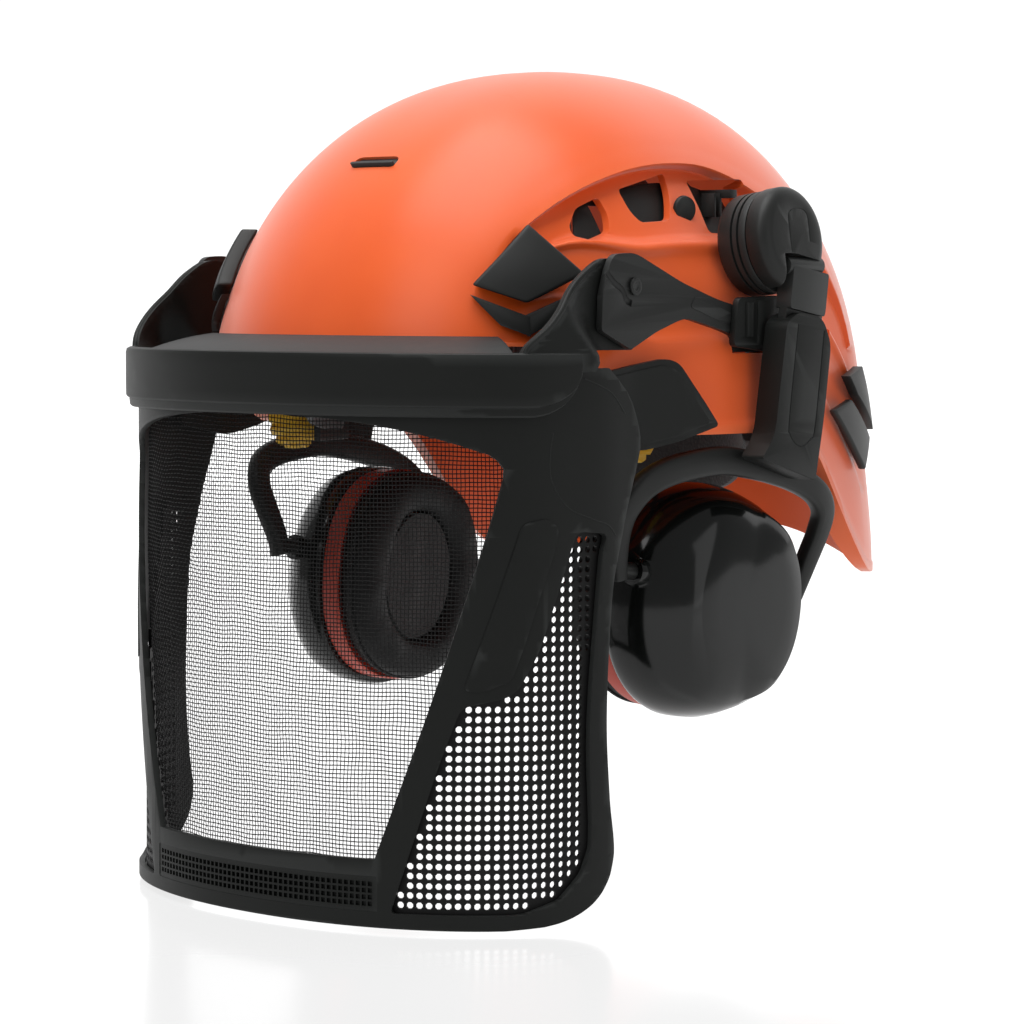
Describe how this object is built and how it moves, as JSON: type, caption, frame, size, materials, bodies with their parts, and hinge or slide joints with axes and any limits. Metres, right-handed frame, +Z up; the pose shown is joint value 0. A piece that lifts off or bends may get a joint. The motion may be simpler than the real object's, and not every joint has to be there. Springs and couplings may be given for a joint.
{
  "type": "forestry helmet",
  "caption": "Vented climbing-style helmet with a hinged mesh face visor, swinging ear muffs on sliding arms, a strap cradle, an adjustable headband and headlamp clips.",
  "frame": {"origin": "middle of the head opening, at the height of the lower front of the headband, where the wearer's brow sits", "axes": "+X to the wearer's left, -Y forwards out of the visor, +Z up through the crown"},
  "size_m": [0.265, 0.3435, 0.345],
  "materials": {
    "orange_shell": "satin moulded thermoplastic, lightly worn",
    "black_plastic": "fine matt moulded texture",
    "gloss_cup": "polished moulded plastic",
    "red_ring": "satin moulded plastic",
    "yellow_wheel": "satin moulded plastic",
    "soft_foam": "soft foam under a matt skin",
    "seal_rubber": "matt",
    "grey_webbing": "woven webbing",
    "black_mesh": "open mesh, matt",
    "pin_steel": "plain"
  },
  "bodies": {
    "helmet": {"shell": "orange_shell", "front_vent_insert": "black_plastic", "headband": "black_plastic", "sweatband": "soft_foam", "nape_cradle": "soft_foam", "crown_strap_side": "grey_webbing", "crown_strap_front_left": "grey_webbing", "crown_strap_front_right": "grey_webbing", "side_plug_left": "black_plastic", "side_plug_right": "black_plastic", "front_clip_hook_left": "black_plastic", "front_clip_hook_right": "black_plastic", "front_clip_base_left": "black_plastic", "front_clip_base_right": "black_plastic", "rear_clip_hook_left": "black_plastic", "rear_clip_hook_right": "black_plastic", "rear_clip_base_left": "black_plastic", "rear_clip_base_right": "black_plastic", "side_adaptor_left": "black_plastic", "side_adaptor_right": "black_plastic", "hub_base_left": "black_plastic", "hub_base_right": "black_plastic", "wheel_mount_left": "black_plastic", "wheel_mount_right": "black_plastic"},
    "visor": {"visor_frame": "black_plastic", "mesh_screen": "black_mesh", "side_panel_left": "black_mesh", "side_panel_right": "black_mesh", "brow_band": "black_plastic", "brim_seal": "seal_rubber", "temple_wing_left": "black_plastic", "temple_wing_right": "black_plastic"},
    "visor_link_left": {"visor_link_left": "black_plastic", "tilt_pin_left": "pin_steel"},
    "vent_shutter_left": {"vent_shutter_left": "black_plastic"},
    "hub_left": {"hub_cap_left": "black_plastic"},
    "arm_left": {"arm_blade_left": "black_plastic"},
    "bail_left": {"arm_sleeve_left": "black_plastic", "yoke_left": "black_plastic"},
    "muff_left": {"cup_left": "gloss_cup", "back_ring_left": "red_ring", "cushion_left": "soft_foam", "foam_insert_left": "soft_foam"},
    "side_wheel_left": {"side_wheel_left": "yellow_wheel"},
    "visor_link_right": {"visor_link_right": "black_plastic", "tilt_pin_right": "pin_steel"},
    "vent_shutter_right": {"vent_shutter_right": "black_plastic"},
    "hub_right": {"hub_cap_right": "black_plastic"},
    "arm_right": {"arm_blade_right": "black_plastic"},
    "bail_right": {"arm_sleeve_right": "black_plastic", "yoke_right": "black_plastic"},
    "muff_right": {"cup_right": "gloss_cup", "back_ring_right": "red_ring", "cushion_right": "soft_foam", "foam_insert_right": "soft_foam"},
    "side_wheel_right": {"side_wheel_right": "yellow_wheel"}
  },
  "joints": [
    {"name": "visor_lift", "type": "hinge", "parent": "helmet", "child": "visor_link_left", "pos_m": [0.114, 0.008, 0.03], "axis": [-1, 0, 0], "range_deg": [0, 30]},
    {"name": "visor_lift_right", "type": "hinge", "parent": "helmet", "child": "visor_link_right", "pos_m": [-0.114, 0.008, 0.03], "axis": [-1, 0, 0], "range_deg": [0, 30]},
    {"name": "visor_tilt", "type": "hinge", "parent": "visor_link_left", "child": "visor", "pos_m": [0.112, -0.07, 0.044], "axis": [-1, 0, 0], "range_deg": [0, 60]},
    {"name": "vent_left", "type": "slide", "parent": "helmet", "child": "vent_shutter_left", "axis": [0, 1, 0], "range_m": [0, 0.009]},
    {"name": "hub_swing_left", "type": "hinge", "parent": "helmet", "child": "hub_left", "pos_m": [0.1297, 0.021, 0.065], "axis": [-0.9903, 0, -0.1392], "range_deg": [0, 4]},
    {"name": "arm_spread_left", "type": "hinge", "parent": "hub_left", "child": "arm_left", "pos_m": [0.1276, 0.0275, 0.0535], "axis": [0, -1, 0], "range_deg": [0, 20]},
    {"name": "height_left", "type": "slide", "parent": "arm_left", "child": "bail_left", "axis": [0, -0.1461, -0.9893], "range_m": [0, 0.02]},
    {"name": "cup_tilt_left", "type": "hinge", "parent": "bail_left", "child": "muff_left", "pos_m": [0.099, 0.003, -0.079], "axis": [0.069, 0.9869, -0.1461], "range_deg": [-8, 8]},
    {"name": "wheel_left", "type": "hinge", "parent": "helmet", "child": "side_wheel_left", "pos_m": [0.0943, -0.045, -0.014], "axis": [1, 0, 0], "continuous": true},
    {"name": "vent_right", "type": "slide", "parent": "helmet", "child": "vent_shutter_right", "axis": [0, 1, 0], "range_m": [0, 0.009]},
    {"name": "hub_swing_right", "type": "hinge", "parent": "helmet", "child": "hub_right", "pos_m": [-0.1297, 0.021, 0.065], "axis": [-0.9903, 0, 0.1392], "range_deg": [0, 4]},
    {"name": "arm_spread_right", "type": "hinge", "parent": "hub_right", "child": "arm_right", "pos_m": [-0.1276, 0.0275, 0.0535], "axis": [0, 1, 0], "range_deg": [0, 20]},
    {"name": "height_right", "type": "slide", "parent": "arm_right", "child": "bail_right", "axis": [0, -0.1461, -0.9893], "range_m": [0, 0.02]},
    {"name": "cup_tilt_right", "type": "hinge", "parent": "bail_right", "child": "muff_right", "pos_m": [-0.099, 0.003, -0.079], "axis": [-0.069, 0.9869, -0.1461], "range_deg": [-8, 8]},
    {"name": "wheel_right", "type": "hinge", "parent": "helmet", "child": "side_wheel_right", "pos_m": [-0.0943, -0.045, -0.014], "axis": [-1, 0, 0], "continuous": true}
  ],
  "couplings": [
    {"joint": "visor_lift_right", "follows": "visor_lift", "ratio": 1}
  ]
}
